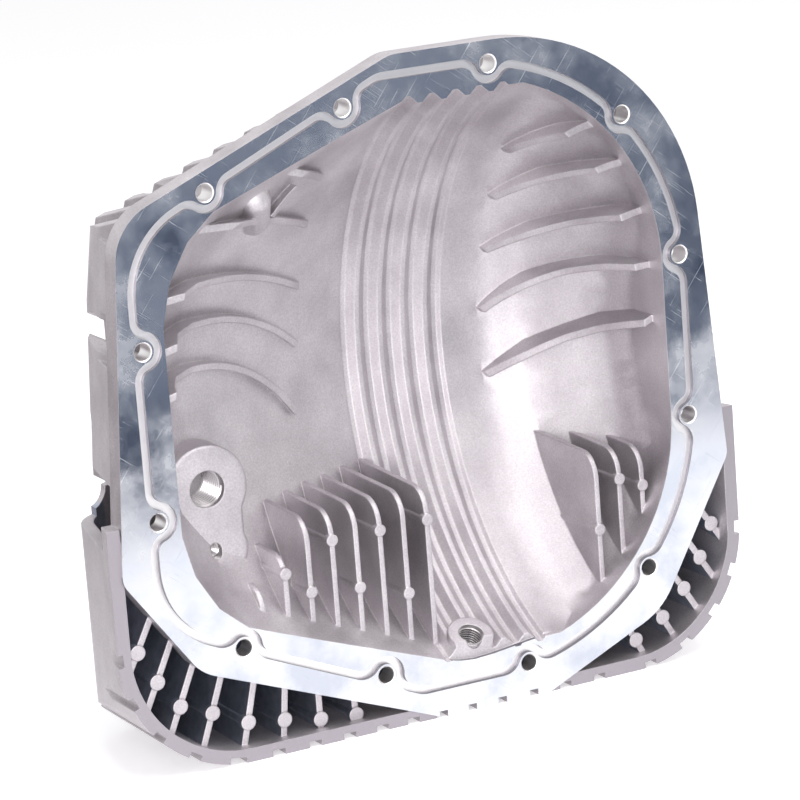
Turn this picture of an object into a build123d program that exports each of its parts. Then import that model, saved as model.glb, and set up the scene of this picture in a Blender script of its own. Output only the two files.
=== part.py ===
from build123d import *
import os
from math import cos, degrees, hypot, radians, sin, tan

# Finned rear differential cover, one aluminium casting, machined on its front.
# Millimetres. The milled flange face is the plane y = 0 and looks along -Y.
# The bowl bulges back along +Y, +X is right as seen from the front, +Z is up,
# and the origin is the centre of the bolt pattern.

# Flange
flange_t = 13.0
flange_top = 168.0
flange_foot = -174.5
flange_right = 174.0
flange_left = -173.5
opening_top = 150.0
opening_right = 141.3
opening_left = -140.0
opening_shoulder = 91.7
opening_bend = 55.0
opening_radius = 110.0

# Bolts: twelve clearance bores for M8, mirrored about z = 0
bolt_d = 8.7
bolt_chamfer = 0.6
bolt_seat_r = 8.8
side_bolt = (151.8, 42.7)
upper_bolts = [(122.6, 119.95), (47.6, 156.25), (-34.75, 145.45), (-111.95, 114.9)]
side_notch_h = 26.0

# O-ring groove: sizes of its middle line
groove_w = 4.3
groove_depth = 2.6
groove_right = 153.4
groove_top = 158.0
groove_left = -155.2
groove_bolt_r = 8.0
groove_blend = 8.0
groove_radius = 122.5
groove_bend = 45.0
groove_shoulder = 96.6

# Bowl: a surface of revolution about the ring gear's axle, which lies in
# front of the flange. Each pair is a corner (x, depth behind the flange at z = 0).
axle_y = 66.0
wall = 6.5
ring_depth = 92.5
ring_waves = 9
ring_half_pitch = 6.7
ring_wave = 1.75
ring_start = -1.85
ring_crest = 0.4
left_cheek = [(-108.6, 58.0), (-123.5, 47.4), (-134.7, 32.8), (-140.9, 15.5), (-141.5, 2.0)]
right_cheek = [(80.2, 92.4), (102.1, 83.3), (132.9, 52.6), (142.1, 30.7), (142.2, 2.0)]
dome_left = [(-102.0, 62.0), (-130.0, 43.0), (-141.5, 2.0)]
dome_right = [(86.0, 88.0), (119.0, 69.0), (137.0, 42.0), (142.0, 2.0)]

# Plate fins inside the bowl, as (top, height of its round ejector boss)
plate_t = 2.7
plate_front = 12.0
plate_corner = 13.0
plate_drop = 3.0
pin_d = 6.2
pin_proud = 0.8
pin_head = 3.5
pin_ridge_d = 4.4
plate_pitch = 13.6
left_plate_x = 0.7
left_plates = [(-54, -72.8), (-54, -109.2), (-55, -73.3), (-55, -100.6)]
left_plates += [(-56, -73.2), (-57, -97.7), (-74, -85.5)]
short_plate_top = -88.0
short_plates = 2
right_plate_x = 101.0
right_plates = [(-54.5, -97.7), (-54.5, -72.8), (-55.5, -78.7)]

# Crescent ribs on the side walls: start, middle and end of each arc, seen from the front
rib_t = 3.6
rib_front = 13.0
right_ribs = [((82.2, 100.9), (95, 110.2), (114, 115.2)), ((82.2, 74), (101, 86.2), (128, 92.8))]
right_ribs += [((82, 44.2), (106.5, 57.5), (139, 66.2)), ((81.2, 10.8), (112.3, 32.1), (142, 36.9))]
right_ribs += [((80.9, -23.9), (117.1, -1.9), (142, 8.7))]
left_ribs = [((-141, 60.7), (-77.9, 60.5), (-30.8, 44.1)), ((-141, 35), (-75.4, 37), (-32.9, 13.4))]
left_ribs += [((-141, 11.5), (-76, 11), (-37, -21.5)), ((-112, 94.5), (-70, 90.5), (-29.4, 78))]
left_ribs += [((-66, 117.6), (-45, 111.2), (-29.8, 105)), ((-62, 91), (-58, 98), (-52, 106))]

# Rounded swelling below the upper left bolt, between two points on the wall
swelling_r = 8.5
swelling_sunk = 3.0
swelling = [(-74.6, 21.3, 101.8), (-68.4, 37.7, 88.2)]

# Oil ports
fill_at = (-109.0, -41.0)
fill_d = 19.0
fill_face = 38.0
fill_pad_r = 21.0
gauge_at = (-107.5, -73.0)
gauge_d = 7.5
gauge_pad_r = 11.0
fill_seat_d = 28.0
fill_seat = 62.0
port_boss_back = 100.0
drain_x = 18.0
drain_angle = 62.0
drain_d = 13.0
drain_pad_r = 12.0
drain_pad_proud = 5.0
drain_boss_r = 15.0
plug_d = 22.0

# Air duct round the lower half, with a scoop at each side
lip_back = 1.0
skin_t = 3.8
skin_rib_h = 3.2
duct_half = 172.5
duct_floor = flange_foot + skin_rib_h + skin_t
duct_corner = 61.0
duct_back = 112.0
duct_back_radius = 42.0
duct_side_back = 78.0
duct_draft = 12.0
duct_top = -42.7
skin_slot_w = 7.0
slot_pitch = 16.4
slot_growth = 0.45
slot_middle = -4.0
corner_slot_step = 20.0

# Vanes inside the scoops: the boss on each, in from the duct's side and up from its
# floor, and its lean from upright
vane_t = 3.4
vane_front = 8.0
vane_pin_d = 8.0
vane_ridge_d = 5.6
left_vanes = [(6.5, 59.5, -28), (15.5, 42.5, -26), (26.5, 27.5, -24), (43.5, 20.5, -20)]
left_vanes += [(62.5, 11.5, -14), (82.5, 8.5, -6), (102.5, 4.5, 0), (122.5, 2.5, 2)]
right_vanes = [(6.5, 61.5, 34), (14.5, 44.5, 33), (25.5, 29.5, 32), (39.5, 16.5, 30), (56.5, 7.5, 28)]

# Fins on the back
fin_pitch = 14.7
fin_t = 4.6
fin_rows = 10
fin_draft = 12.0
body_inset = 1.5
draft_inset = 2.0
side_wall_top = 92.0
crown = duct_back + skin_t

# Outlines on the flange's face, as (x, z, radius) corners clockwise from the top left
flange_corners = [(-7, flange_top, 20), (156.5, flange_top, 113), (flange_right, -68, 10), (129, -144, 40)]
flange_corners += [(58.5, flange_foot, 6), (-4, flange_foot, 6), (-136, -123, 25), (flange_left, -70, 10)]
flange_corners += [(-160.5, 106, 30)]


def mirrored(corners):
    """The corners above the middle, then their mirror images below it."""
    return corners + [(x, -z, r) for x, z, r in reversed(corners)]


opening_corners = mirrored([(opening_left, opening_shoulder, opening_bend), (-4, opening_top, 8)]
                           + [(opening_right, opening_top, opening_radius)])
groove_corners = mirrored([(groove_left, groove_shoulder, groove_bend), (-14.4, groove_top, 15)]
                          + [(groove_right, groove_top, groove_radius)])
front = Plane.XZ
axle = Axis((0, -axle_y, 0), (1, 0, 0))
bolts = [side_bolt] + upper_bolts + [(-side_bolt[0], side_bolt[1])]
bolts = bolts + [(x, -z) for x, z in bolts]
ring_end = ring_start + ring_waves * ring_half_pitch

# The drain port's seat: on the bowl's surface, square to it
drain_out = (0, cos(radians(drain_angle)), -sin(radians(drain_angle)))
drain_r = axle_y + ring_depth
drain_seat = (drain_x, drain_r * drain_out[1] - axle_y, drain_r * drain_out[2])
drain = Plane(drain_seat, x_dir=(1, 0, 0), z_dir=drain_out)


def rounded(corners, grow=0.0):
    """Face inside (x, z, radius) corners taken clockwise, with every side moved out by grow."""
    points = [Vector(x, z) for x, z, _ in corners]
    moved = []
    for before, here, after in zip(points[-1:] + points[:-1], points, points[1:] + points[:1]):
        a = (here - before).normalized().rotate(Axis.Z, 90)
        b = (after - here).normalized().rotate(Axis.Z, 90)
        moved.append(here + (a + b) * (grow / (1 + a.dot(b))))
    with BuildSketch() as outline:
        with BuildLine():
            FilletPolyline(*moved, radius=[max(r + grow, 1) for _, _, r in corners], close=True)
        make_face()
    return outline.sketch


# The O-ring groove's middle line: an oval that passes inside each bolt
with BuildSketch() as sealed:
    add(rounded(groove_corners))
    with Locations(*bolts):
        Circle(groove_bolt_r, mode=Mode.SUBTRACT)
    off_bolt = {v: min(hypot(v.X - x, v.Y - z) for x, z in bolts) for v in sealed.vertices()}
    fillet([v for v, gap in off_bolt.items() if abs(gap - groove_bolt_r) < 0.01], groove_blend)
seal_line = sealed.face().outer_wire()


# Rings rolled into the bowl, as corners of their section
ring_line = [(ring_start, ring_depth)]
for i in range(ring_waves):
    middle = ring_start + (i + 0.5) * ring_half_pitch
    side = ring_wave if i % 2 == 0 else -ring_wave
    flat = ring_crest * ring_half_pitch / 2
    ring_line += [(middle - flat, ring_depth + side), (middle + flat, ring_depth + side)]
ring_line += [(ring_end, ring_depth)]


# The void inside the bowl, as the foundry's sand core would be
with BuildPart() as core:
    with BuildSketch(Plane.XY):
        with BuildLine():
            Polyline(*reversed(left_cheek), *ring_line, *right_cheek)
            low_right = (right_cheek[-1][0], -axle_y)
            low_left = (left_cheek[-1][0], -axle_y)
            Polyline(right_cheek[-1], low_right, low_left, left_cheek[-1])
        make_face()
    revolve(axis=axle)
    with BuildSketch(front.offset(1)):
        add(rounded(opening_corners))
    extrude(amount=-(ring_depth + 20), mode=Mode.INTERSECT)

    # plate fins leave slots in the core
    plates = [(left_plate_x - i * plate_pitch, t, p) for i, (t, p) in enumerate(left_plates)]
    plates += [(right_plate_x + i * plate_pitch, t, p) for i, (t, p) in enumerate(right_plates)]
    shorts = range(len(left_plates), len(left_plates) + short_plates)
    plates += [(left_plate_x - i * plate_pitch, short_plate_top, None) for i in shorts]
    for x, top, pin in plates:
        with BuildSketch(Plane.YZ.offset(x)):
            with BuildLine():
                corner = (plate_front, top - plate_drop)
                FilletPolyline((ring_depth + 20, top), corner, (plate_front, -170), radius=plate_corner)
                Polyline((plate_front, -170), (ring_depth + 20, -170), (ring_depth + 20, top))
            make_face()
        extrude(amount=plate_t / 2, both=True, mode=Mode.SUBTRACT)
        if pin is None:
            continue
        with BuildSketch(front.offset(-(plate_front - pin_proud))):
            with Locations((x, pin)):
                Circle(pin_d / 2)
        extrude(amount=-pin_head, mode=Mode.SUBTRACT)
        with BuildSketch(front.offset(-plate_front)):
            with Locations((x, pin)):
                Circle(pin_ridge_d / 2)
        extrude(amount=-(ring_depth + 20), mode=Mode.SUBTRACT)

    # the fill port and the gauge port stand on raised pads
    with BuildSketch(front.offset(-fill_face)):
        with Locations(fill_at):
            Circle(fill_pad_r)
        with Locations(gauge_at):
            Circle(gauge_pad_r)
    extrude(amount=-ring_depth, mode=Mode.SUBTRACT)

    # and the drain port in a low one, square to the bowl
    with BuildSketch(drain.offset(-drain_pad_proud)):
        Circle(drain_pad_r)
    extrude(amount=40, mode=Mode.SUBTRACT)

# The part of the bowl that the crescent ribs do not reach
with BuildPart() as rib_relief:
    with BuildSketch(Plane.XY):
        with BuildLine():
            Polyline((-26, 88), (-32, 79.5), (-80, 61), (-106, 50), (-120, 38), (-127, 24), (-141, -15))
            Line((-141, -15), (-141, -axle_y))
            Polyline((-141, -axle_y), (140, -axle_y), (140, 5), (125, 38), (113, 55), (95, 73), (78, 92))
            Polyline((78, 92), (78, 120), (-26, 120), (-26, 88))
        make_face()
    revolve(axis=axle)

with BuildPart() as ribs:
    for arc in left_ribs + right_ribs:
        with BuildSketch(front.offset(-rib_front)):
            with BuildLine():
                ThreePointArc(*arc)
            trace(line_width=rib_t)
        extrude(amount=-(ring_depth + 20 - rib_front))
    add(rib_relief.part, mode=Mode.SUBTRACT)

with BuildPart() as bump:
    ends = [Vector(*p) for p in swelling]
    along = ends[1] - ends[0]
    inwards = Vector(0, 1, 0).cross(along).cross(along).normalized() * -swelling_sunk
    with BuildSketch(Plane(ends[0] + inwards, z_dir=along)):
        Circle(swelling_r)
    extrude(amount=along.length)
    with Locations(*[end + inwards for end in ends]):
        Sphere(swelling_r)

# The bowl's outside
with BuildPart() as dome:
    shell = wall + ring_wave
    with BuildSketch(Plane.XY):
        left = [(x - shell / 2, d + shell) for x, d in dome_left[:-1]]
        right = [(x + shell / 2, d + shell) for x, d in dome_right[:-1]]
        with BuildLine():
            Polyline((dome_left[-1][0] - shell, -axle_y), (dome_left[-1][0] - shell, 2), *reversed(left))
            Polyline(left[0], (ring_start, ring_depth + shell), (ring_end, ring_depth + shell), *right)
            Polyline(right[-1], (dome_right[-1][0] + shell, 2), (dome_right[-1][0] + shell, -axle_y))
            Line((dome_right[-1][0] + shell, -axle_y), (dome_left[-1][0] - shell, -axle_y))
        make_face()
    revolve(axis=axle)
    with BuildSketch(front):
        add(rounded(opening_corners, wall))
    extrude(amount=-(ring_depth + 20), mode=Mode.INTERSECT)


# The space that the outer fins fill
with BuildPart() as envelope:
    with BuildSketch(front):
        add(rounded(flange_corners, -body_inset))
    extrude(amount=-(crown + 10))
    for (x1, z1, _), (x2, z2, _) in zip(flange_corners, flange_corners[1:] + flange_corners[:1]):
        if max(z1, z2) < 0:
            continue
        along = Vector(x2 - x1, 0, z2 - z1).normalized()
        out = Vector(-along.Z, 0, along.X)
        drafted = Vector(0, 1, 0) - out * tan(radians(fin_draft))
        side = Plane(Vector(x1, 0, z1) - out * draft_inset, x_dir=along, z_dir=along.cross(drafted))
        split(bisect_by=side, keep=Keep.BOTTOM)
    with BuildSketch(Plane.YZ):
        with BuildLine():
            ThreePointArc((16, 168), (82, 100), (crown, 0))
            Polyline((crown, 0), (crown, -200), (-1, -200), (-1, 168), (16, 168))
        make_face()
    extrude(amount=250, both=True, mode=Mode.INTERSECT)
    with BuildSketch(Plane.XY):
        with BuildLine():
            ThreePointArc((-175, 66), (10, crown), (180, 66))
            Polyline((180, 66), (180, -1), (-175, -1), (-175, 66))
        make_face()
    extrude(amount=250, both=True, mode=Mode.INTERSECT)

with BuildPart() as fins:
    for i in range(-fin_rows, fin_rows + 1):
        with BuildSketch(Plane.YZ.offset(i * fin_pitch)):
            with BuildLine():
                Polyline((1, duct_top), (crown + 10, duct_top), (crown + 10, 200), (1, 200), close=True)
            make_face()
        extrude(amount=fin_t / 2, both=True)
    add(envelope.part, mode=Mode.INTERSECT)

# Side walls, that end the rows of fins left and right
with BuildPart() as side_walls:
    with BuildSketch(front):
        for side in (-1, 1):
            with Locations((side * (fin_rows * fin_pitch + 25), (duct_top + side_wall_top) / 2)):
                Rectangle(50, side_wall_top - duct_top)
    extrude(amount=-duct_side_back)
    add(envelope.part, mode=Mode.INTERSECT)


def duct_body(grow, start=0.0):
    """The duct's inner space widened by grow, from start backwards."""
    half = duct_half + grow
    floor = duct_floor - grow
    back = duct_back + grow
    corner = duct_corner + grow
    slant = duct_side_back * tan(radians(duct_draft))
    section = [(-half, duct_top), (-half, floor), (half, floor), (half, duct_top)]
    with BuildPart() as body:
        with BuildSketch(front.offset(-start)):
            with BuildLine():
                FilletPolyline(*section, radius=corner)
                Line((half, duct_top), (-half, duct_top))
            make_face()
        extrude(amount=start - back)
        with BuildSketch(Plane.YZ):
            with BuildLine():
                FilletPolyline((0, floor), (back, floor), (back, duct_top), radius=duct_back_radius + grow)
                Polyline((back, duct_top), (0, duct_top), (0, floor))
            make_face()
        extrude(amount=half + 10, both=True, mode=Mode.INTERSECT)
        with BuildSketch(Plane.XY):
            with BuildLine():
                points = [(-half, 0), (slant - half, duct_side_back), (-100, back), (100, back)]
                points += [(half - slant, duct_side_back), (half, 0)]
                FilletPolyline(*points, radius=30)
                Line((half, 0), (-half, 0))
            make_face()
        extrude(amount=250, both=True, mode=Mode.INTERSECT)
    return body.part


with BuildPart() as duct_space:
    add(duct_body(0))

with BuildPart() as skin:
    add(duct_body(skin_t + skin_rib_h, lip_back))
    # slots between the ribs outside, front to back
    deep = skin_rib_h
    outer = duct_corner + skin_t + skin_rib_h
    spots = [slot_middle + slot_pitch * k + slot_growth * k * abs(k) for k in range(-6, 6)]
    for x in spots:
        with BuildSketch(front):
            with Locations((x, flange_foot)):
                Rectangle(skin_slot_w, 2 * deep)
        extrude(amount=-(duct_back + 20), mode=Mode.SUBTRACT)
    for side in (-1, 1):
        for k in range(5):
            turn = radians(-corner_slot_step * (k + 0.1))
            across = side * (duct_half - duct_corner + outer * cos(turn))
            up = duct_floor + duct_corner + outer * sin(turn)
            with BuildSketch(front):
                with Locations(Location((across, up), side * degrees(turn))):
                    Rectangle(2 * deep, skin_slot_w)
            extrude(amount=-(duct_back + 20), mode=Mode.SUBTRACT)

with BuildPart() as vanes:
    placed = [(inset - duct_half, duct_floor + up, lean) for inset, up, lean in left_vanes]
    placed += [(duct_half - inset, duct_floor + up, lean) for inset, up, lean in right_vanes]
    for x, z, lean in placed:
        with BuildSketch(front.offset(-vane_front)):
            with Locations(Location((x, z), lean)):
                Rectangle(vane_t, 90)
        extrude(amount=-(duct_back + 10))
        with BuildSketch(front.offset(-(vane_front - pin_proud))):
            with Locations((x, z)):
                Circle(vane_pin_d / 2)
        extrude(amount=-pin_head)
        with BuildSketch(front.offset(-vane_front)):
            with Locations((x, z)):
                Circle(vane_ridge_d / 2)
        extrude(amount=-(duct_back / 2))
    add(duct_space.part, mode=Mode.INTERSECT)

# The drain port's boss reaches down through the duct
with BuildPart() as drain_boss:
    with BuildSketch(drain):
        Circle(drain_boss_r)
    extrude(amount=60)
    add(skin.part + duct_space.part, mode=Mode.INTERSECT)

# The casting, machined
with BuildPart() as cover:
    add(skin.part)
    add(duct_space.part, mode=Mode.SUBTRACT)
    add(vanes.part)
    add(fins.part)
    add(side_walls.part)
    add(dome.part)
    with BuildSketch(front.offset(-fill_face)):
        with Locations(fill_at):
            Circle(fill_pad_r - wall / 2)
        with Locations(gauge_at):
            Circle(gauge_pad_r)
    extrude(amount=-(port_boss_back - fill_face))
    add(drain_boss.part)
    with BuildSketch(front):
        add(rounded(flange_corners))
    extrude(amount=-flange_t)

    # room behind the flange for each bolt head and its socket
    with BuildSketch(front.offset(-flange_t)):
        with Locations(*bolts):
            Circle(bolt_seat_r)
        for x in (-side_bolt[0], side_bolt[0]):
            for z in (-side_bolt[1], side_bolt[1]):
                reach = 30 if x > 0 else -30
                with Locations((x + reach / 2, z)):
                    Rectangle(30, side_notch_h)
    extrude(amount=-(duct_back + 20), mode=Mode.SUBTRACT)

    add(core.part - ribs.part - bump.part, mode=Mode.SUBTRACT)

    with BuildSketch(front):
        with Locations(*bolts):
            Circle(bolt_d / 2)
        with Locations(fill_at):
            Circle(fill_d / 2)
        with Locations(gauge_at):
            Circle(gauge_d / 2)
    extrude(amount=-(duct_back + 20), mode=Mode.SUBTRACT)
    with BuildSketch(front.offset(-fill_seat)):
        with Locations(fill_at):
            Circle(fill_seat_d / 2)
    extrude(amount=-duct_back, mode=Mode.SUBTRACT)

    with BuildSketch(front):
        trace(seal_line.edges(), groove_w)
    extrude(amount=-groove_depth, mode=Mode.SUBTRACT)

    with BuildSketch(drain):
        Circle(drain_d / 2)
    extrude(amount=80, both=True, mode=Mode.SUBTRACT)
    with BuildSketch(drain.offset(wall + 14)):
        Circle(plug_d / 2)
    extrude(amount=60, mode=Mode.SUBTRACT)

    rims = cover.edges().filter_by(GeomType.CIRCLE).filter_by_position(Axis.Y, -0.01, 0.01)
    chamfer(rims.filter_by(lambda e: abs(e.radius - bolt_d / 2) < 0.01), bolt_chamfer)

cover.part.label = "cover"
os.makedirs("parts", exist_ok=True)
export_step(cover.part, "parts/cover.step")
print(len(cover.part.solids()), "solid", round(cover.part.volume / 1000), "cm3", cover.part.bounding_box())
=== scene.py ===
# %% [markdown]
# A finned differential cover in Blender
#
# The real part is one aluminium casting that closes the back of an axle. Its bowl
# makes room for the ring gear, its flange is milled flat and carries an O-ring
# groove and twelve bores, and fins and two air scoops cool the oil inside. The
# CAD model has the shape and the size already. This lesson dresses it in the
# finishes of a blasted and machined casting, adds the threads and a rounded pad,
# and builds the white studio that the metal mirrors.

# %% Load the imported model
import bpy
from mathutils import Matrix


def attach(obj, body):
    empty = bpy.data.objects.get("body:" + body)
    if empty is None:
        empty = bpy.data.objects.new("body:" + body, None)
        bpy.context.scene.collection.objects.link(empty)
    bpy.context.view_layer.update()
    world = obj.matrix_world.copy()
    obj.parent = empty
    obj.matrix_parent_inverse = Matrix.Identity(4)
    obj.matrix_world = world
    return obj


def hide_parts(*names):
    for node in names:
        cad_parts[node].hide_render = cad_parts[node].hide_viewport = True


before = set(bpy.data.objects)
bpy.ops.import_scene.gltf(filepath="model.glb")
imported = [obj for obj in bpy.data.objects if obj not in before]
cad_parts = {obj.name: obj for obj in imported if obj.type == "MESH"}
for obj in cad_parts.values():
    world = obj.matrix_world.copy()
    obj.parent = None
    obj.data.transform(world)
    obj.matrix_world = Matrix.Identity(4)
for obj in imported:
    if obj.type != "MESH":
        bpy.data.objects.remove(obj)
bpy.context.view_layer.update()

import bpy
from math import atan2, cos, hypot, radians, sin
from mathutils import Matrix, Vector

# %% [markdown]
# Helpers for selecting
#
# An operator acts on whatever is selected, and the loaded nodes start selected.
# So each step first clears the selection and then picks its own object. Places
# and sizes end up in the mesh, with the object at the origin, because patterns
# and the export both count from there.


# %% Helpers for selecting
def pick(piece):
    """Only this piece is selected and active, in object mode."""
    if bpy.context.mode != "OBJECT":
        bpy.ops.object.mode_set(mode="OBJECT")
    bpy.ops.object.select_all(action="DESELECT")
    piece.select_set(True)
    bpy.context.view_layer.objects.active = piece


def name_and_size(name, scale=(1, 1, 1)):
    """Names the primitive just added, sizes it, and puts its place and size into its mesh."""
    made = bpy.context.object
    made.name = name
    made.scale = scale
    bpy.ops.object.transform_apply(location=True, rotation=True, scale=True)
    return made


def apply_modifiers(piece):
    """Every modifier on the piece becomes part of its mesh."""
    pick(piece)
    for name in [m.name for m in piece.modifiers]:
        bpy.ops.object.modifier_apply(modifier=name)


def settle(piece, body="root"):
    """The piece keeps its place in its mesh, with its object at the origin, and rides on the body."""
    pick(piece)
    bpy.ops.object.transform_apply(location=True, rotation=True, scale=True)
    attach(piece, body)


# %% [markdown]
# The casting's mesh
#
# The CAD node is loose triangles, good for a frame but hard-edged in a render. It
# could be modelled again by hand, but that would only lose the CAD's sizes. So a
# copy is merged at its doubles, which lets neighbouring faces share their
# corners, and faces that lie in one plane are dissolved into one.

# %% Copy the casting and merge it
MM = 0.001
WELD = 0.002
SAME_PLANE = radians(0.15)

cast_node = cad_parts["cover"]
casting = cast_node.copy()
casting.data = cast_node.data.copy()
casting.name = "casting"
bpy.context.scene.collection.objects.link(casting)
casting.parent = None
casting.matrix_world = Matrix.Identity(4)
pick(casting)
bpy.ops.object.mode_set(mode="EDIT")
bpy.ops.mesh.select_all(action="SELECT")
bpy.ops.mesh.remove_doubles(threshold=WELD * MM)
bpy.ops.mesh.dissolve_degenerate(threshold=WELD * MM)
bpy.ops.mesh.select_all(action="SELECT")
bpy.ops.mesh.dissolve_limited(angle_limit=SAME_PLANE, delimit={"NORMAL"})
bpy.ops.object.mode_set(mode="OBJECT")
print("casting:", len(casting.data.vertices), "points,", len(casting.data.polygons), "faces")

# %% [markdown]
# The foot of the flange
#
# On the real cover the rings and the drain port's pad stop a few millimetres
# short of the milled face, so the opening keeps one smooth edge there. One way is
# to move points by hand, but a Boolean cut leaves clean edges. Its cutter is a
# strip shaped from a grid, whose lower edge follows the opening, and which is
# then extruded as deep as the cut.

# %% Shape the strip that cuts the foot
FOOT_EDGE = [(0.8, -144.7), (6.2, -146.6), (15.8, -147.6), (26.5, -147.0)]
FOOT_EDGE += [(38.7, -145.6), (48.8, -144.4), (62.0, -143.2)]
FOOT_TOP = -128.0
FOOT_DEPTH = 2.4
STRIP_HEIGHT = 10.0
PROUD = 1.0


def foot_edge(x):
    """The opening's lower edge at x, in mm."""
    for (x0, z0), (x1, z1) in zip(FOOT_EDGE, FOOT_EDGE[1:]):
        if x <= x1:
            break
    return z0 + (z1 - z0) * (x - x0) / (x1 - x0)


left, right = FOOT_EDGE[0][0], FOOT_EDGE[-1][0]
strip_z = FOOT_TOP - STRIP_HEIGHT / 2
strip_at = ((left + right) / 2 * MM, -PROUD * MM, strip_z * MM)
upright = (radians(90), 0, 0)
bpy.ops.object.select_all(action="DESELECT")
bpy.ops.mesh.primitive_grid_add(
    x_subdivisions=16, y_subdivisions=1, size=1.0, location=strip_at, rotation=upright)
strip = name_and_size("foot_cutter", ((right - left) * MM, STRIP_HEIGHT * MM, 1))
for vertex in strip.data.vertices:
    if vertex.co.z < strip_z * MM:
        vertex.co.z = foot_edge(vertex.co.x / MM) * MM
bpy.ops.object.mode_set(mode="EDIT")
bpy.ops.mesh.select_all(action="SELECT")
bpy.ops.mesh.extrude_region_move(TRANSFORM_OT_translate={"value": (0, (FOOT_DEPTH + PROUD) * MM, 0)})
bpy.ops.mesh.select_all(action="SELECT")
bpy.ops.mesh.normals_make_consistent(inside=False)
bpy.ops.object.mode_set(mode="OBJECT")
print("foot cutter:", len(strip.data.polygons), "faces")

# %% [markdown]
# The slots under the flange
#
# The slots between the ribs of the scoops' skin run on into the flange's lower
# edge and nick it. Each is a plain block, because a foundry's slot is one too,
# and all of them join the strip, so that one Boolean makes every cut at once.

# %% Add a block for each slot and cut
SLOTS = [-4.0, 12.85, 30.6, 49.25]
SLOT_WIDTH = 5.0
SLOT_TOP = -171.0
SLOT_HEIGHT = 8.0
SLOT_BACK = 14.0

blocks = []
for x in SLOTS:
    slot_at = (x * MM, (SLOT_BACK - PROUD) / 2 * MM, (SLOT_TOP - SLOT_HEIGHT / 2) * MM)
    bpy.ops.object.select_all(action="DESELECT")
    bpy.ops.mesh.primitive_cube_add(size=1.0, location=slot_at)
    blocks.append(name_and_size("slot_cutter", (SLOT_WIDTH * MM, (SLOT_BACK + PROUD) * MM, SLOT_HEIGHT * MM)))
pick(strip)
for block in blocks:
    block.select_set(True)
bpy.ops.object.join()
before = len(casting.data.polygons)
nick = casting.modifiers.new("foot", "BOOLEAN")
nick.operation = "DIFFERENCE"
nick.solver = "EXACT"
nick.object = strip
apply_modifiers(casting)
bpy.data.objects.remove(strip, do_unlink=True)
print("casting before and after the foot's cut:", before, len(casting.data.polygons), "faces")

# %% [markdown]
# Shading where the casting flows
#
# The bowl and the rounded corners flow, and every machined edge is crisp. Smoothing
# by angle alone would creep round an edge through the sliver triangles that CAD
# meshes have. So each corner of a face gets the mean normal, weighed by area, of
# only those faces round it that turn by less than 35 degrees from it.

# %% Even out the normals
FLOWS_BELOW = radians(35)


def even_normals(mesh):
    """Gives every face corner the mean normal of the faces there that flow into it."""
    around = [[] for _ in mesh.vertices]
    for face in mesh.polygons:
        for corner in face.vertices:
            around[corner].append((face.normal.copy(), face.area))
    normals = []
    for face in mesh.polygons:
        for corner in face.vertices:
            flowing = (n * a for n, a in around[corner] if n.dot(face.normal) > cos(FLOWS_BELOW))
            mean = sum(flowing, Vector())
            normals.append(mean.normalized() if mean.length > 0 else face.normal.copy())
    mesh.normals_split_custom_set(normals)
    return len(normals)


pick(casting)
bpy.ops.object.shade_smooth()
print("face corners with a normal of their own:", even_normals(casting.data))
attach(casting, "root")
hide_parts("cover")

# %% [markdown]
# Which faces are machined
#
# A casting is blasted all over, and then a few faces are cut: the flange's front
# and the groove by a milling cutter, the bores by drills and taps. Faces could be
# picked one by one, but there are thousands, so they are sorted by where they
# are, as a machinist's drawing would mark them. First come the sizes that such a
# drawing gives, in millimetres, seen from the machined side.

# %% The machinist's drawing
BOLTS = [(151.8, 42.7), (122.6, 119.95), (47.6, 156.25), (-34.75, 145.45), (-111.95, 114.9), (-151.8, 42.7)]
BOLTS += [(x, -z) for x, z in BOLTS]
BORE_REACH = 5.2
GROOVE_DEPTH = 2.6
FLANGE_T = 13.0
FILL_AT = (-109.0, -41.0)
FILL_R = 9.5
GAUGE_AT = (-107.5, -73.0)
GAUGE_R = 3.75
DRAIN_X = 18.0
DRAIN_ANGLE = radians(62)
DRAIN_R = 6.5
AXLE_Y = 66.0
RING_DEPTH = 92.5
RING_RADIUS = AXLE_Y + RING_DEPTH

drain_out = Vector((0, cos(DRAIN_ANGLE), -sin(DRAIN_ANGLE)))
drain_point = Vector((DRAIN_X, RING_RADIUS * drain_out.y - AXLE_Y, RING_RADIUS * drain_out.z))
print("bolts:", len(BOLTS), "drain port at", [round(c, 1) for c in drain_point])


# %% Measure from a port's axis
def off_axis(point, at):
    """How far a point, in mm, is from an axis along Y."""
    return hypot(point.x - at[0], point.z - at[1])


def off_drain(point):
    """How far a point, in mm, is from the drain port's axis."""
    return (point - drain_point).cross(drain_out).length


print("fill port to gauge port:", round(off_axis(Vector((FILL_AT[0], 0, FILL_AT[1])), GAUGE_AT), 1), "mm")

# %% [markdown]
# Inside the scoops
#
# The two scoops are one air duct that runs behind the flange and shows at both
# lower corners, and its walls get painted shade. Its walls are a U with round
# corners, so a face whose corners all lie within that U, outside the ring of bolts,
# is taken for one of the duct's. The vanes' front edges are left out. The test looks
# across and up but sets no limit in depth, so it also takes the rounded lower edge
# of the duct's outer wall, which shows at the back as a bluish strip of painted
# shade. That is a fault of this sorting and not of the real cover.

# %% Find what lies in the duct
DUCT_HALF = 172.5
DUCT_FLOOR = -167.5
DUCT_TOP = -42.7
DUCT_CORNER = 61.0
DUCT_FRONTS = 40.0
DUCT_RUN = 1.0
RIM_BACK = 1.0
NEAR = 0.1

bolt_ring = sorted(BOLTS, key=lambda bolt: atan2(bolt[1], bolt[0]))


def outside_bolts(x, z):
    """Whether a place on the flange lies outside the polygon of the bolts."""
    sides = zip(bolt_ring, bolt_ring[1:] + bolt_ring[:1])
    return any((c[0] - b[0]) * (z - b[1]) < (c[1] - b[1]) * (x - b[0]) for b, c in sides)


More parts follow.
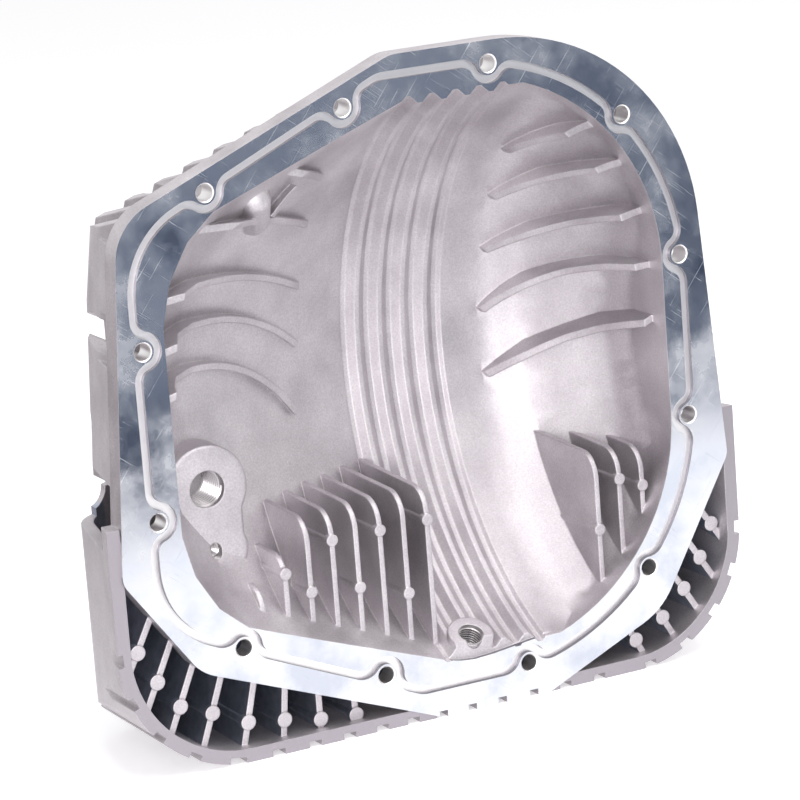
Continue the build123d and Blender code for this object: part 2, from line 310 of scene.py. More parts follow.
def in_duct(point):
    """Whether a point, in mm, lies within the duct's inner walls as seen along Y."""
    across = abs(point.x) - (DUCT_HALF - DUCT_CORNER)
    down = DUCT_FLOOR + DUCT_CORNER - point.z
    if across > 0 and down > 0:
        return hypot(across, down) < DUCT_CORNER + NEAR
    return across < DUCT_CORNER + NEAR and down < DUCT_CORNER + NEAR


def lines_duct(corners, low, high):
    """Whether a face with these corners is taken for a wall of the duct or of what stands in it."""
    middle = sum(corners, Vector()) / len(corners)
    if low <= RIM_BACK or middle.z >= DUCT_TOP or not outside_bolts(middle.x, middle.z):
        return False
    runs_back = high - low > DUCT_RUN or middle.y > DUCT_FRONTS
    return runs_back and all(map(in_duct, corners))


# %% [markdown]
# One finish for each face
#
# A face is on the milled plane, in a bolt's bore, at the groove's floor or wall,
# on a scoop's rim, in the duct or in a port, and the rest is blasted. The tests
# run in that order, and the first that holds gives the face its material slot.

# %% Sort the faces by how they were cut
CAST, MILLED, DRILLED, GROOVED, RIM, LINING = range(6)
FLUSH = 0.02
SNUG = 0.05


def in_bolt_bore(corners):
    """Whether a face is a bolt bore's wall or chamfer."""
    return any(max(off_axis(c, bolt) for c in corners) < BORE_REACH for bolt in BOLTS)


def in_port(corners):
    """Whether a face is the wall of the fill, gauge or drain port."""
    if max(off_axis(c, FILL_AT) for c in corners) < FILL_R + SNUG:
        return True
    if max(off_axis(c, GAUGE_AT) for c in corners) < GAUGE_R + SNUG:
        return True
    return max(off_drain(c) for c in corners) < DRAIN_R + SNUG


def finish_of(corners):
    """The finish of a face with these corners, in mm."""
    low = min(c.y for c in corners)
    high = max(c.y for c in corners)
    if high < FLUSH:
        return MILLED
    if high < FLANGE_T + NEAR and in_bolt_bore(corners):
        return DRILLED
    if high < GROOVE_DEPTH + FLUSH and low > GROOVE_DEPTH - FLUSH:
        return DRILLED
    if high < GROOVE_DEPTH + FLUSH and low < FLUSH:
        return GROOVED
    if abs(high - RIM_BACK) < FLUSH and abs(low - RIM_BACK) < FLUSH:
        return RIM
    if lines_duct(corners, low, high):
        return LINING
    return DRILLED if in_port(corners) else CAST


def sort_faces(mesh):
    """Writes each face's finish into its material slot and counts them."""
    counts = [0] * (LINING + 1)
    points = [v.co / MM for v in mesh.vertices]
    for face in mesh.polygons:
        finish = finish_of([points[i] for i in face.vertices])
        face.material_index = finish
        counts[finish] += 1
    return counts


# %% [markdown]
# Colours
#
# Colours are picked as the eye sees them, in sRGB hex, and Blender computes with
# linear light, so one function turns one into the other.


# %% Turn a hex colour linear
def linear(hex_colour):
    """An sRGB hex colour as linear RGBA."""
    parts = [int(hex_colour[i:i + 2], 16) / 255 for i in (1, 3, 5)]
    return tuple(p / 12.92 if p <= 0.04045 else ((p + 0.055) / 1.055) ** 2.4 for p in parts) + (1.0,)


print("middle grey #808080 is", round(linear("#808080")[0], 3), "in linear light")

# %% [markdown]
# Nodes
#
# Every material here is a small tree of nodes, which could be drawn by hand in
# the shader editor. One function adds a node of any kind with its settings and
# links, so that each line below reads like one node with its wires.


# %% Add nodes
def add_node(tree, kind, settings=None, links=None):
    """Adds a node. Settings are its own properties. Links are its inputs, by name or number."""
    made = tree.nodes.new(kind)
    for name, value in (settings or {}).items():
        setattr(made, name, value)
    for name, value in (links or {}).items():
        if isinstance(value, bpy.types.NodeSocket):
            tree.links.new(value, made.inputs[name])
        else:
            made.inputs[name].default_value = value
    return made


def new_material(name):
    """A new material whose node tree is empty, and that tree."""
    material = bpy.data.materials.new(name)
    material.use_nodes = True
    material.node_tree.nodes.clear()
    return material, material.node_tree


def per_metre(millimetres):
    """A noise texture's scale for patches of this size."""
    return 1 / (millimetres * MM)


# %% [markdown]
# Blasted cast aluminium
#
# Sand casting leaves a grainy skin, and blasting evens it to a satin grey with a
# trace of warmth. Real grit marks are about 0.3 mm, too fine to show here, so the
# grain is drawn at 0.9 mm. Patches some 26 mm wide vary the grey and the gloss, as
# metal that cooled unevenly does. A Bevel node rounds the shading of the edges by
# 1.2 mm, as a foundry pattern's small fillets do, with no more faces to carry.

# %% Material: blasted cast aluminium
GRIT = 0.9
PATCH = 26.0
EDGE_RADIUS = 1.2

cast_aluminium, tree = new_material("blasted cast aluminium")
place = add_node(tree, "ShaderNodeTexCoord").outputs["Object"]
grit = add_node(tree, "ShaderNodeTexNoise", {}, {
    "Vector": place, "Scale": per_metre(GRIT), "Detail": 3.0, "Roughness": 0.6})
patch = add_node(tree, "ShaderNodeTexNoise", {}, {
    "Vector": place, "Scale": per_metre(PATCH), "Detail": 4.0, "Roughness": 0.55})
tone = add_node(tree, "ShaderNodeValToRGB", {}, {"Fac": patch.outputs["Fac"]})
for stop, position, shade in zip(tone.color_ramp.elements, (0.32, 0.72), ("#BDB8BC", "#D2CED1")):
    stop.position = position
    stop.color = linear(shade)
speck = add_node(tree, "ShaderNodeMapRange", {}, {
    "Value": grit.outputs["Fac"], "From Min": 0.3, "From Max": 0.7, "To Min": 0.84, "To Max": 1.08})
# a Mix node has an A and a B for each kind of data: inputs 6 and 7 and output 2 are the colours
colour = add_node(tree, "ShaderNodeMix", {"data_type": "RGBA", "blend_type": "MULTIPLY"}, {
    "Factor": 1.0, 6: tone.outputs["Color"], 7: speck.outputs["Result"]})
rough = add_node(tree, "ShaderNodeMapRange", {}, {
    "Value": patch.outputs["Fac"], "From Min": 0.3, "From Max": 0.7, "To Min": 0.5, "To Max": 0.6})
soft_edge = add_node(tree, "ShaderNodeBevel", {"samples": 6}, {"Radius": EDGE_RADIUS * MM})
skin = add_node(tree, "ShaderNodeBump", {}, {
    "Height": grit.outputs["Fac"], "Strength": 0.35, "Distance": 0.12 * MM,
    "Normal": soft_edge.outputs["Normal"]})
shader = add_node(tree, "ShaderNodeBsdfPrincipled", {}, {
    "Base Color": colour.outputs[2], "Metallic": 1.0, "Roughness": rough.outputs["Result"],
    "Normal": skin.outputs["Normal"]})
add_node(tree, "ShaderNodeOutputMaterial", {}, {"Surface": shader.outputs["BSDF"]})
print(cast_aluminium.name, "has", len(tree.nodes), "nodes")

# %% [markdown]
# Scratches
#
# Sliding the cover about on a bench draws fine straight scratches on its milled
# face. Real ones are under 0.1 mm wide, too fine to show here, so they are drawn
# at 0.5 mm. They are a noise stretched 60 times along one direction, which costs
# nothing and never repeats, where drawn lines would need an image.

# %% Scratches in one direction
SCRATCH = 0.5
SCRATCH_STRETCH = 60.0


def scratches(tree, place, turn, width):
    """Fine parallel scratches on the flange's face, turned by an angle about Y."""
    turned = add_node(tree, "ShaderNodeMapping", {"vector_type": "TEXTURE"}, {
        "Vector": place, "Rotation": (0, radians(turn), 0), "Scale": (SCRATCH_STRETCH, 1, 1)})
    return add_node(tree, "ShaderNodeTexNoise", {}, {
        "Vector": turned.outputs["Vector"], "Scale": per_metre(width), "Detail": 2.0})


# %% [markdown]
# Milled aluminium
#
# A face mill leaves the flange flat and nearly a mirror. Handling adds scratches
# in two directions and dull clouds some 30 mm wide. The clouds are metal that is
# rougher and paler, so they blur what the face mirrors, and the scratches add
# roughness and a shallow bump where they are deepest. A noise makes both, because
# painted stains would need an image.

# %% Material: milled aluminium
CLOUD = 30.0
SCRATCH_TURNS = (38, -52)
SCRATCH_WIDER = 1.6
SCRATCH_DULL = 0.22

milled_aluminium, tree = new_material("milled aluminium")
place = add_node(tree, "ShaderNodeTexCoord").outputs["Object"]
cloud = add_node(tree, "ShaderNodeTexNoise", {}, {
    "Vector": place, "Scale": per_metre(CLOUD), "Detail": 6.0, "Roughness": 0.58})
first = scratches(tree, place, SCRATCH_TURNS[0], SCRATCH)
second = scratches(tree, place, SCRATCH_TURNS[1], SCRATCH * SCRATCH_WIDER)
deeper = add_node(tree, "ShaderNodeMath", {"operation": "MAXIMUM"}, {
    0: first.outputs["Fac"], 1: second.outputs["Fac"]})
lines = add_node(tree, "ShaderNodeMapRange", {}, {
    "Value": deeper.outputs["Value"], "From Min": 0.66, "From Max": 0.72})
dull = add_node(tree, "ShaderNodeMapRange", {}, {
    "Value": cloud.outputs["Fac"], "From Min": 0.35, "From Max": 0.65, "To Min": 0.09, "To Max": 0.29})
rough = add_node(tree, "ShaderNodeMath", {"operation": "MULTIPLY_ADD"}, {
    0: lines.outputs["Result"], 1: SCRATCH_DULL, 2: dull.outputs["Result"]})
tone = add_node(tree, "ShaderNodeValToRGB", {}, {"Fac": cloud.outputs["Fac"]})
for stop, position, shade in zip(tone.color_ramp.elements, (0.35, 0.7), ("#C0C5CF", "#EBECEF")):
    stop.position = position
    stop.color = linear(shade)
marks = add_node(tree, "ShaderNodeBump", {}, {
    "Height": lines.outputs["Result"], "Strength": 0.22, "Distance": 0.03 * MM})
shader = add_node(tree, "ShaderNodeBsdfPrincipled", {}, {
    "Base Color": tone.outputs["Color"], "Metallic": 1.0, "Roughness": rough.outputs["Value"],
    "Normal": marks.outputs["Normal"]})
add_node(tree, "ShaderNodeOutputMaterial", {}, {"Surface": shader.outputs["BSDF"]})
print(milled_aluminium.name, "has", len(tree.nodes), "nodes")

# %% [markdown]
# Drilled aluminium
#
# Drills leave the bores, and an end mill the groove's floor, as bright walls with
# fine marks. It is the same metal, cut clean, so it is lighter and smoother than
# the casting. Real marks are 0.1 to 0.2 mm apart, too fine to show here, and are
# drawn as a faint noise of 1.2 mm.

# %% Material: drilled aluminium
DRILL_MARK = 1.2

drilled_aluminium, tree = new_material("drilled aluminium")
place = add_node(tree, "ShaderNodeTexCoord").outputs["Object"]
rings = add_node(tree, "ShaderNodeTexNoise", {}, {
    "Vector": place, "Scale": per_metre(DRILL_MARK), "Detail": 2.0})
rough = add_node(tree, "ShaderNodeMapRange", {}, {
    "Value": rings.outputs["Fac"], "To Min": 0.34, "To Max": 0.46})
marks = add_node(tree, "ShaderNodeBump", {}, {
    "Height": rings.outputs["Fac"], "Strength": 0.04, "Distance": 0.03 * MM})
shader = add_node(tree, "ShaderNodeBsdfPrincipled", {}, {
    "Base Color": linear("#F0EEEE"), "Metallic": 1.0, "Roughness": rough.outputs["Result"],
    "Normal": marks.outputs["Normal"]})
add_node(tree, "ShaderNodeOutputMaterial", {}, {"Surface": shader.outputs["BSDF"]})
print(drilled_aluminium.name, "has", len(tree.nodes), "nodes")

# %% [markdown]
# End-milled groove wall, with painted shade
#
# The groove's walls are cut by the side of a small end mill, which chatters, so
# they are duller than its floor. Their dark grey is painted shade, the shade that
# falls inside the groove, and it is what makes the groove read as a line all round
# the flange. Chatter is about 0.1 mm on the real wall and is drawn at 0.8 mm, so
# that it can show.

# %% Material: end-milled groove wall with painted shade
CHATTER = 0.8

groove_wall_painted_shade, tree = new_material("groove wall painted shade")
place = add_node(tree, "ShaderNodeTexCoord").outputs["Object"]
chatter = add_node(tree, "ShaderNodeTexNoise", {}, {
    "Vector": place, "Scale": per_metre(CHATTER), "Detail": 2.0})
rough = add_node(tree, "ShaderNodeMapRange", {}, {
    "Value": chatter.outputs["Fac"], "To Min": 0.4, "To Max": 0.55})
# the dark grey base colour is painted shade inside the groove
shader = add_node(tree, "ShaderNodeBsdfPrincipled", {}, {
    "Base Color": linear("#87858C"), "Metallic": 1.0, "Roughness": rough.outputs["Result"]})
add_node(tree, "ShaderNodeOutputMaterial", {}, {"Surface": shader.outputs["BSDF"]})
print(groove_wall_painted_shade.name, "has", len(tree.nodes), "nodes")

# %% [markdown]
# Scoop rim aluminium, with painted shade
#
# The scoops' front rims lie 1 mm behind the milled face. They are flat and dry,
# and their grey, darker than the skin round them, is painted shade. Their dry grain
# is about 0.2 mm and is drawn at 1 mm, so that it can show.

# %% Material: scoop rim with painted shade
DRY_GRAIN = 1.0

scoop_rim_painted_shade, tree = new_material("scoop rim painted shade")
place = add_node(tree, "ShaderNodeTexCoord").outputs["Object"]
dry = add_node(tree, "ShaderNodeTexNoise", {}, {
    "Vector": place, "Scale": per_metre(DRY_GRAIN), "Detail": 3.0})
rough = add_node(tree, "ShaderNodeMapRange", {}, {
    "Value": dry.outputs["Fac"], "To Min": 0.5, "To Max": 0.62})
# the darker grey base colour is painted shade on the scoops' rims
shader = add_node(tree, "ShaderNodeBsdfPrincipled", {}, {
    "Base Color": linear("#A5A0A6"), "Metallic": 1.0, "Roughness": rough.outputs["Result"]})
add_node(tree, "ShaderNodeOutputMaterial", {}, {"Surface": shader.outputs["BSDF"]})
print(scoop_rim_painted_shade.name, "has", len(tree.nodes), "nodes")

# %% [markdown]
# Duct skin, with painted shade
#
# The blast can't reach far into the scoops, so the mould's own skin stays there,
# wavy over about 6 mm. Its darker, bluish grey is painted shade, for the shade deep
# in the duct. It is a material of its own and not a darker lamp, because the walls
# have to look right from every side.

# %% Material: duct skin with painted shade
CRUST = 6.0

duct_skin_painted_shade, tree = new_material("duct skin painted shade")
place = add_node(tree, "ShaderNodeTexCoord").outputs["Object"]
crust = add_node(tree, "ShaderNodeTexNoise", {}, {
    "Vector": place, "Scale": per_metre(CRUST), "Detail": 5.0, "Roughness": 0.6})
tone = add_node(tree, "ShaderNodeValToRGB", {}, {"Fac": crust.outputs["Fac"]})
# the two blue greys are painted shade of the duct, varied at random by the noise
for stop, position, shade in zip(tone.color_ramp.elements, (0.34, 0.68), ("#9FA5B5", "#B9BFCD")):
    stop.position = position
    stop.color = linear(shade)
bumps = add_node(tree, "ShaderNodeBump", {}, {
    "Height": crust.outputs["Fac"], "Strength": 0.3, "Distance": 0.3 * MM})
shader = add_node(tree, "ShaderNodeBsdfPrincipled", {}, {
    "Base Color": tone.outputs["Color"], "Metallic": 1.0, "Roughness": 0.48,
    "Normal": bumps.outputs["Normal"]})
add_node(tree, "ShaderNodeOutputMaterial", {}, {"Surface": shader.outputs["BSDF"]})
print(duct_skin_painted_shade.name, "has", len(tree.nodes), "nodes")

# %% [markdown]
# Tapped aluminium
# Tapped thread, with painted shade
# A tap presses and cuts the thread's flanks, which come out glossy but slightly
# torn. So threads are smoother than a drilled wall. Their grey is darker than a
# drilled wall's, and that is painted shade for the depth of the bore. The tears are
# about 0.1 mm and are drawn at 0.9 mm, so that they can show.

# %% Material: tapped thread with painted shade
TEAR = 0.9

tapped_thread_painted_shade, tree = new_material("tapped thread painted shade")
place = add_node(tree, "ShaderNodeTexCoord").outputs["Object"]
torn = add_node(tree, "ShaderNodeTexNoise", {}, {
    "Vector": place, "Scale": per_metre(TEAR), "Detail": 3.0})
rough = add_node(tree, "ShaderNodeMapRange", {}, {
    "Value": torn.outputs["Fac"], "To Min": 0.16, "To Max": 0.3})
# the darker grey base colour is painted shade inside the bore
shader = add_node(tree, "ShaderNodeBsdfPrincipled", {}, {
    "Base Color": linear("#B5B1B3"), "Metallic": 1.0, "Roughness": rough.outputs["Result"]})
add_node(tree, "ShaderNodeOutputMaterial", {}, {"Surface": shader.outputs["BSDF"]})
print(tapped_thread_painted_shade.name, "has", len(tree.nodes), "nodes")

# %% [markdown]
# Dressing the casting
#
# The casting gets one material slot for each finish, in the order that the sorting
# above uses, and then its faces are sorted into them. One mesh with six slots
# keeps the real part in one piece, where six meshes would leave seams.

# %% Dress the casting
# three of these, the groove's walls, the scoops' rims and the duct, carry painted shade
FINISHES = [cast_aluminium, milled_aluminium, drilled_aluminium]
FINISHES += [groove_wall_painted_shade, scoop_rim_painted_shade, duct_skin_painted_shade]

casting.data.materials.clear()
for material in FINISHES:
    casting.data.materials.append(material)
for material, count in zip(FINISHES, sort_faces(casting.data)):
    print(material.name, "is on", count, "faces")

# %% [markdown]
# Threads
#
# The CAD bores stop at the thread's inner diameter. A tap cuts a groove that climbs
# by one pitch a turn, and the Screw modifier does just that: a short profile turns
# about an axis and climbs as it goes. The profile has a flank, a flat crest, a
# flank and a flat root, each a share of the pitch. A bump would be easier, but it
# has no depth at the mouth, where a thread is seen best.


# %% Turn a thread
THREAD_STEPS = 36
THREAD_DEPTH = 0.36
TURN_WELD = 0.005
PROFILE = ((-1, 0.2), (0, 0.3), (1, 0.2), (0, 0.3))


def turn_thread(name, radius, pitch, turns):
    """A thread's surface, upright at the origin, with its root at this radius. Sizes in mm."""
    bpy.ops.object.select_all(action="DESELECT")
    bpy.ops.mesh.primitive_plane_add(size=0.1 * MM, location=(radius * MM, 0, 0))
    sleeve = name_and_size(name)
    bpy.ops.object.mode_set(mode="EDIT")
    bpy.ops.mesh.select_all(action="SELECT")
    bpy.ops.mesh.merge(type="CENTER")
    for outwards, climb in PROFILE:
        step = (outwards * THREAD_DEPTH * pitch * MM, 0, climb * pitch * MM)
        bpy.ops.mesh.extrude_vertices_move(TRANSFORM_OT_translate={"value": step})
    bpy.ops.object.mode_set(mode="OBJECT")
    screw = sleeve.modifiers.new("tap", "SCREW")
    screw.axis = "Z"
    screw.screw_offset = pitch * MM
    screw.iterations = turns
    screw.steps = screw.render_steps = THREAD_STEPS
    screw.use_merge_vertices = True
    screw.merge_threshold = TURN_WELD * MM
    apply_modifiers(sleeve)
    return sleeve


# %% [markdown]
# A wall for the thread
#
# The turned surface is a sheet, and its faces have to look at the bore's axis. So
# its doubles are merged, its normals are made to agree, and they are flipped if
# they look outwards. Only then does Solidify give the sheet a thin wall, behind
# the side that is seen, and the sleeve is laid along its port.


# %% Give it a wall and lay it in its port
THREAD_WALL = 0.3
SHEET_WELD = 0.01
THREAD_CREASE = radians(30)


def cut_thread(name, radius, pitch, turns, mouth, inwards):
    """A threaded sleeve inside a bore, from its mouth inwards. Sizes in mm."""
    sleeve = turn_thread(name, radius, pitch, turns)
    bpy.ops.object.mode_set(mode="EDIT")
    bpy.ops.mesh.select_all(action="SELECT")
    bpy.ops.mesh.remove_doubles(threshold=SHEET_WELD * MM)
    bpy.ops.mesh.normals_make_consistent(inside=False)
    bpy.ops.object.mode_set(mode="OBJECT")
    face = sleeve.data.polygons[len(sleeve.data.polygons) // 2]
    if face.normal.x * face.center.x + face.normal.y * face.center.y > 0:
        bpy.ops.object.mode_set(mode="EDIT")
        bpy.ops.mesh.flip_normals()
        bpy.ops.object.mode_set(mode="OBJECT")
    wall = sleeve.modifiers.new("wall", "SOLIDIFY")
    wall.thickness = THREAD_WALL * MM
    wall.offset = -1
    apply_modifiers(sleeve)
    turn = Vector((0, 0, 1)).rotation_difference(Vector(inwards))
    sleeve.matrix_world = Matrix.Translation(Vector(mouth) * MM) @ turn.to_matrix().to_4x4()
    settle(sleeve)
    bpy.ops.object.shade_smooth_by_angle(angle=THREAD_CREASE)
    sleeve.data.materials.append(tapped_thread_painted_shade)
    print(name, "turns", turns, "triangles", 2 * len(sleeve.data.polygons))


# %% [markdown]
# The three threaded ports
#
# The fill plug, the gauge's plug and the drain plug each have a thread. A real fill
# plug's climbs about 1.5 mm a turn, too fine to show here, so it is drawn at
# 2.4 mm. The other two keep a real pitch. The fill and gauge threads start a
# little inside the pad's face, as a tapped bore does behind its chamfer. The
# drain's own pad stands 5 mm out of the bowl's wall, and its thread starts 1 mm
# inside that.

# %% Thread the fill, gauge and drain ports
PAD_FACE = 38.0
FILL_CHAMFER = 0.6
GAUGE_CHAMFER = 1.0
DRAIN_PAD = 5.0
DRAIN_CHAMFER = 1.0
FILL_PITCH = 2.4
GAUGE_PITCH = 1.25
DRAIN_PITCH = 1.5

fill_mouth = (FILL_AT[0], PAD_FACE + FILL_CHAMFER, FILL_AT[1])
gauge_mouth = (GAUGE_AT[0], PAD_FACE + GAUGE_CHAMFER, GAUGE_AT[1])
drain_mouth = drain_point - drain_out * (DRAIN_PAD - DRAIN_CHAMFER)
cut_thread("fill_thread", FILL_R, FILL_PITCH, turns=9, mouth=fill_mouth, inwards=(0, 1, 0))
cut_thread("gauge_thread", GAUGE_R, GAUGE_PITCH, turns=12, mouth=gauge_mouth, inwards=(0, 1, 0))
cut_thread("drain_thread", DRAIN_R, DRAIN_PITCH, turns=8, mouth=drain_mouth, inwards=drain_out)

# %% [markdown]
# The port pad
#
# On the real cover one smooth raised pad carries the fill port and the gauge
# port, with a full lobe round each and a waist between. Bevelling its outline
# would leave a kink where the lobes meet. So two short discs and a block between
# them are joined here, and melted together in the next step.

# %% Join two discs and a waist
PAD_R = 22.5
GAUGE_PAD_R = 14.0
GAUGE_PAD_AT = (-102.5, -74.0)
PAD_PROUD = 2.6
PAD_FRONT = PAD_FACE - PAD_PROUD
PAD_BACK = 56.0
WAIST_WIDTH = 31.0
WAIST_LENGTH = 30.0


def disc(name, at, radius, front, back):
    """A cylinder along Y from front to back. Sizes in mm."""
    middle = (at[0] * MM, (front + back) / 2 * MM, at[1] * MM)
    bpy.ops.object.select_all(action="DESELECT")
    bpy.ops.mesh.primitive_cylinder_add(
        vertices=64, radius=radius * MM, depth=(back - front) * MM, location=middle, rotation=upright)
    return name_and_size(name)


pad = disc("port_pad", FILL_AT, PAD_R, PAD_FRONT, PAD_BACK)
lobe = disc("gauge_lobe", GAUGE_PAD_AT, GAUGE_PAD_R, PAD_FRONT, PAD_BACK)
waist_x, waist_z = [(a + b) / 2 for a, b in zip(FILL_AT, GAUGE_PAD_AT)]
waist_at = (waist_x * MM, (PAD_FRONT + PAD_BACK) / 2 * MM, waist_z * MM)
bpy.ops.object.select_all(action="DESELECT")
bpy.ops.mesh.primitive_cube_add(size=1.0, location=waist_at)
waist = name_and_size("waist", (WAIST_WIDTH * MM, (PAD_BACK - PAD_FRONT) * MM, WAIST_LENGTH * MM))
pick(pad)
for other in (lobe, waist):
    other.select_set(True)
bpy.ops.object.join()
print("port pad before it is melted:", len(pad.data.polygons), "faces")

# %% [markdown]
# Melting the pad together
#
# A voxel remesh makes one skin of the three shapes, and smoothing then rounds its
# whole edge, as the foundry's pattern does. The ports are drilled last, with two
# Boolean cuts, because the remesh would close or blur them.

# %% Melt the pad and drill its ports
PAD_VOXEL = 0.8
PAD_EASE = 9
PAD_CREASE = radians(50)
DRILL_SLACK = 0.02
DRILL_PAST = 5.0

melt = pad.modifiers.new("melt", "REMESH")
melt.mode = "VOXEL"
melt.voxel_size = PAD_VOXEL * MM
ease = pad.modifiers.new("ease", "SMOOTH")
ease.factor = 0.5
ease.iterations = PAD_EASE
drills = []
for name, at, radius in (("fill_drill", FILL_AT, FILL_R), ("gauge_drill", GAUGE_AT, GAUGE_R)):
    drill = disc(name, at, radius + DRILL_SLACK, PAD_FACE - DRILL_PAST, PAD_BACK + DRILL_PAST)
    cut = pad.modifiers.new(name, "BOOLEAN")
    cut.operation = "DIFFERENCE"
    cut.object = drill
    drills.append(drill)
apply_modifiers(pad)
for drill in drills:
    bpy.data.objects.remove(drill, do_unlink=True)
settle(pad)
bpy.ops.object.shade_smooth_by_angle(angle=PAD_CREASE)
pad.data.materials.append(cast_aluminium)
print("port pad:", len(pad.data.polygons), "faces")

# %% [markdown]
# The studio
#
# The photograph is a product shot in a white tent: pure white behind and a soft
# shadow below. Bare metal has little colour of its own and shows what it mirrors,
# so the studio matters as much as the materials. White comes from a glow that
# only the camera and mirrored rays see. More lamp light would also make the
# table white, but it would bleach the casting.


# %% Tell looking from lighting
def looked_at(tree):
    """A socket that is 1 for camera, glossy and transmission rays, and 0 for rays that carry light."""
    rays = add_node(tree, "ShaderNodeLightPath")
    seen = add_node(tree, "ShaderNodeMath", {"operation": "MAXIMUM"}, {
        0: rays.outputs["Is Camera Ray"], 1: rays.outputs["Is Glossy Ray"]})
    seen_too = add_node(tree, "ShaderNodeMath", {"operation": "MAXIMUM"}, {
        0: seen.outputs["Value"], 1: rays.outputs["Is Transmission Ray"]})
    return seen_too.outputs["Value"]


# %% [markdown]
# The table
#
# The real cover stands on white paper that runs far back. A large disc is enough,
# because its edge is out of view, and its white melts into the tent's.

# %% Floor
FLOOR_Z = -0.1745
FLOOR_SIZE = 14.0
FLOOR_GLOW = 0.37

bpy.ops.object.select_all(action="DESELECT")
bpy.ops.mesh.primitive_circle_add(
    vertices=96, radius=FLOOR_SIZE / 2, fill_type="NGON", location=(0, 0, FLOOR_Z))
floor = name_and_size("floor")

table_white, tree = new_material("white table")
paper = add_node(tree, "ShaderNodeBsdfDiffuse", {}, {"Color": linear("#F2F2F4")})
glow = add_node(tree, "ShaderNodeEmission", {}, {"Color": (1, 1, 1, 1), "Strength": FLOOR_GLOW})
lit = add_node(tree, "ShaderNodeAddShader", {}, {0: paper.outputs["BSDF"], 1: glow.outputs["Emission"]})
either = add_node(tree, "ShaderNodeMixShader", {}, {
    "Fac": looked_at(tree), 1: paper.outputs["BSDF"], 2: lit.outputs["Shader"]})
add_node(tree, "ShaderNodeOutputMaterial", {}, {"Surface": either.outputs["Shader"]})
floor.data.materials.append(table_white)
print("floor:", FLOOR_SIZE, "m across, at", FLOOR_Z, "m")

# %% [markdown]
# The dark room
#
# The milled face is nearly a mirror and tilts its reflection forwards and down.
# Its lower part shows the white table, and its upper part the dark room beyond the
# table's edge. A card that lies on the floor and turns up at its far end stands in
# for that room. Only reflections see it, so it darkens nothing else.

# %% Lay the card for the dark room
ROOM_NEAR = -0.46
ROOM_DEPTH = 3.0
ROOM_LEFT = -0.05
ROOM_WIDTH = 2.2
ROOM_HEIGHT = 0.5
CARD_LIFT = 0.002

room_at = (ROOM_LEFT + ROOM_WIDTH / 2, ROOM_NEAR - ROOM_DEPTH / 2, FLOOR_Z + CARD_LIFT)
bpy.ops.object.select_all(action="DESELECT")
bpy.ops.mesh.primitive_plane_add(size=1.0, location=room_at)
room = name_and_size("dark_room_card", (ROOM_WIDTH, ROOM_DEPTH, 1.0))
bpy.ops.object.mode_set(mode="EDIT")
bpy.ops.mesh.select_all(action="DESELECT")
bpy.ops.object.mode_set(mode="OBJECT")
far = ROOM_NEAR - ROOM_DEPTH
for edge in room.data.edges:
    edge.select = all(abs(room.data.vertices[i].co.y - far) < MM for i in edge.vertices)
bpy.ops.object.mode_set(mode="EDIT")
bpy.ops.mesh.select_mode(type="EDGE")
bpy.ops.mesh.extrude_region_move(TRANSFORM_OT_translate={"value": (0, 0, ROOM_HEIGHT)})
bpy.ops.object.mode_set(mode="OBJECT")
print("dark room card:", len(room.data.polygons), "faces")

# %% [markdown]
# What stands in the dark room
#
# A real room is not evenly dark, and its furniture gives the milled face its
# cloudy blues. A noise of 260 mm blends two blue greys, and the card glows with
# them, so that it looks the same whatever lamp falls on it.

# %% Colour the dark room and hide its card
ROOM_SHAPE = 260.0
ROOM_STRENGTH = 1.2


def only_mirrored(card):
    """Hides a card from everything but reflections."""
    card.visible_camera = False
    card.visible_diffuse = False
    card.visible_shadow = False
    card.visible_transmission = False


room_dark, tree = new_material("dark room card")
place = add_node(tree, "ShaderNodeTexCoord").outputs["Object"]
shapes = add_node(tree, "ShaderNodeTexNoise", {}, {
    "Vector": place, "Scale": per_metre(ROOM_SHAPE), "Detail": 1.0})
tones = add_node(tree, "ShaderNodeValToRGB", {}, {"Fac": shapes.outputs["Fac"]})
for stop, position, shade in zip(tones.color_ramp.elements, (0.38, 0.66), ("#3B4557", "#A9B0BE")):
    stop.position = position
    stop.color = linear(shade)
dim = add_node(tree, "ShaderNodeEmission", {}, {"Color": tones.outputs["Color"], "Strength": ROOM_STRENGTH})
add_node(tree, "ShaderNodeOutputMaterial", {}, {"Surface": dim.outputs["Emission"]})
room.data.materials.append(room_dark)
only_mirrored(room)
print(room_dark.name, "has", len(tree.nodes), "nodes")

# %% [markdown]
# The grey card
#
# The cover's outer left side mirrors the floor behind it on the left, where a
# real studio is no longer white. Darkening the metal there would be wrong from
# every other side, so a grey card lies on the floor instead.

# %% Lay the grey card
GREY_AT = (-1.15, 0.95)
GREY_SIZE = (1.8, 2.1)

bpy.ops.object.select_all(action="DESELECT")
bpy.ops.mesh.primitive_plane_add(size=1.0, location=(*GREY_AT, FLOOR_Z + CARD_LIFT))
wall = name_and_size("grey_wall_card", (*GREY_SIZE, 1.0))
wall_grey, tree = new_material("grey wall card")
even = add_node(tree, "ShaderNodeEmission", {}, {"Color": linear("#94898F"), "Strength": 1.0})
add_node(tree, "ShaderNodeOutputMaterial", {}, {"Surface": even.outputs["Emission"]})
wall.data.materials.append(wall_grey)
only_mirrored(wall)
print("grey card:", GREY_SIZE, "m at", GREY_AT)

# %% [markdown]
# The tent's light
#
# A light tent lights the part softly from all sides and looks pure white. The
# world does both: it looks white to the camera and in mirrors, and lights the
# part at a lower level, so that the shadows keep some depth.

# %% Surrounding light
FILL_LIGHT = 0.62

world = bpy.data.worlds.new("white tent")
bpy.context.scene.world = world
world.use_nodes = True
tree = world.node_tree
tree.nodes.clear()
level = add_node(tree, "ShaderNodeMapRange", {}, {
    "Value": looked_at(tree), "To Min": FILL_LIGHT, "To Max": 1.0})
tent = add_node(tree, "ShaderNodeBackground", {}, {
    "Color": (1, 1, 1, 1), "Strength": level.outputs["Result"]})
add_node(tree, "ShaderNodeOutputWorld", {}, {"Surface": tent.outputs["Background"]})
print("fill light:", FILL_LIGHT)

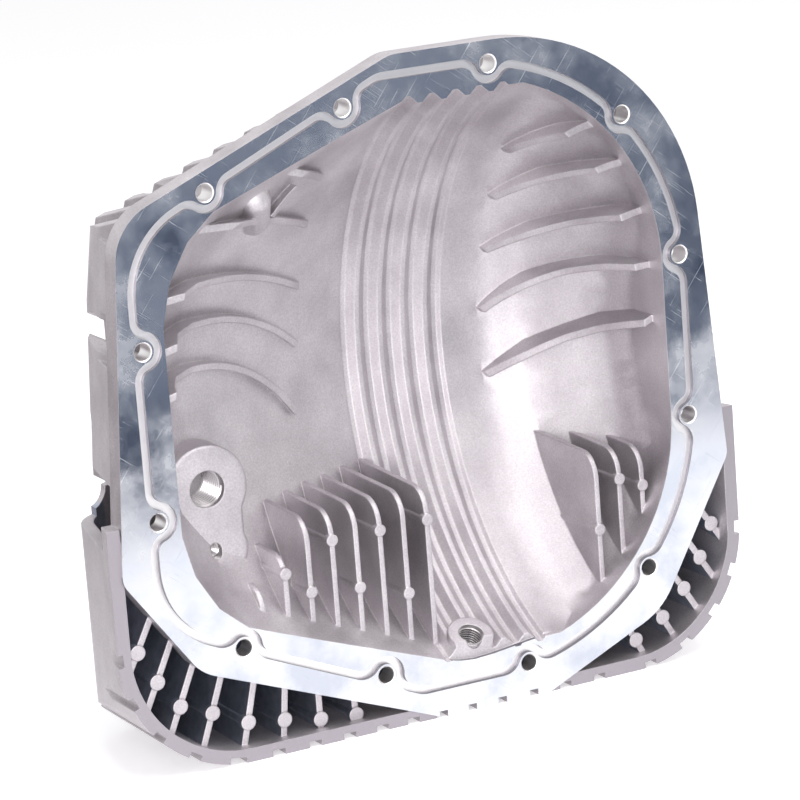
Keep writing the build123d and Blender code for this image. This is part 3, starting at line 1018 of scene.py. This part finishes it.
# %% [markdown]
# Softboxes
#
# Three softboxes shape the bowl. The one overhead makes its bottom the brightest
# place, the low one at the left reaches into the bowl from the side, and the weak
# one in front only lifts the shadows. Point lamps would be simpler, but their
# shadows are hard, and the photograph's are soft.

# %% Hang the softboxes
LAMP_TINT = "#FFFCFD"


def softbox(name, place, aim, size, power):
    """A square area light at place that looks at aim. Metres and watts."""
    lamp = bpy.data.lights.new(name, "AREA")
    lamp.size = size
    lamp.energy = power
    lamp.color = linear(LAMP_TINT)[:3]
    box = bpy.data.objects.new(name, lamp)
    box.location = place
    box.rotation_euler = (Vector(aim) - Vector(place)).to_track_quat("-Z", "Y").to_euler()
    bpy.context.scene.collection.objects.link(box)
    print(name, size, "m,", power, "W")


softbox("overhead_softbox", place=(0.1, -0.6, 1.7), aim=(0, 0, -0.05), size=1.3, power=24)
softbox("front_softbox", place=(0.7, -2.1, 1.3), aim=(0, 0.05, -0.02), size=1.4, power=5)
softbox("left_softbox", place=(-0.95, -1.8, 0.15), aim=(0.05, 0.05, 0), size=0.9, power=26)

# %% [markdown]
# The camera
#
# The camera was found from the bolt pattern. The pattern is a mirror image about
# its middle, and that and its twelve bores fix where the photographer stood. It
# is a long lens from the left, a little above the cover. Its three directions are
# written out, because they hold its slight roll too, which aiming at a point
# would lose.

# %% Camera
CAMERA_AT = (-0.8658, -1.6899, 0.4483)
RIGHT = Vector((0.88270, -0.46405, -0.07408))
UP = Vector((0.17253, 0.17339, 0.96962))
FORWARD = Vector((0.43711, 0.86867, -0.23311))
LENS = 175.1
SENSOR = 36.0

lens = bpy.data.cameras.new("camera")
lens.lens = LENS
lens.sensor_width = SENSOR
camera = bpy.data.objects.new("camera", lens)
bpy.context.scene.collection.objects.link(camera)
stand = Matrix((RIGHT, UP, -FORWARD)).transposed().to_4x4()
stand.translation = CAMERA_AT
camera.matrix_world = stand
bpy.context.scene.camera = camera
bpy.context.scene.view_settings.view_transform = "Standard"
print("camera:", LENS, "mm lens,", round(Vector(CAMERA_AT).length, 2), "m from the cover")
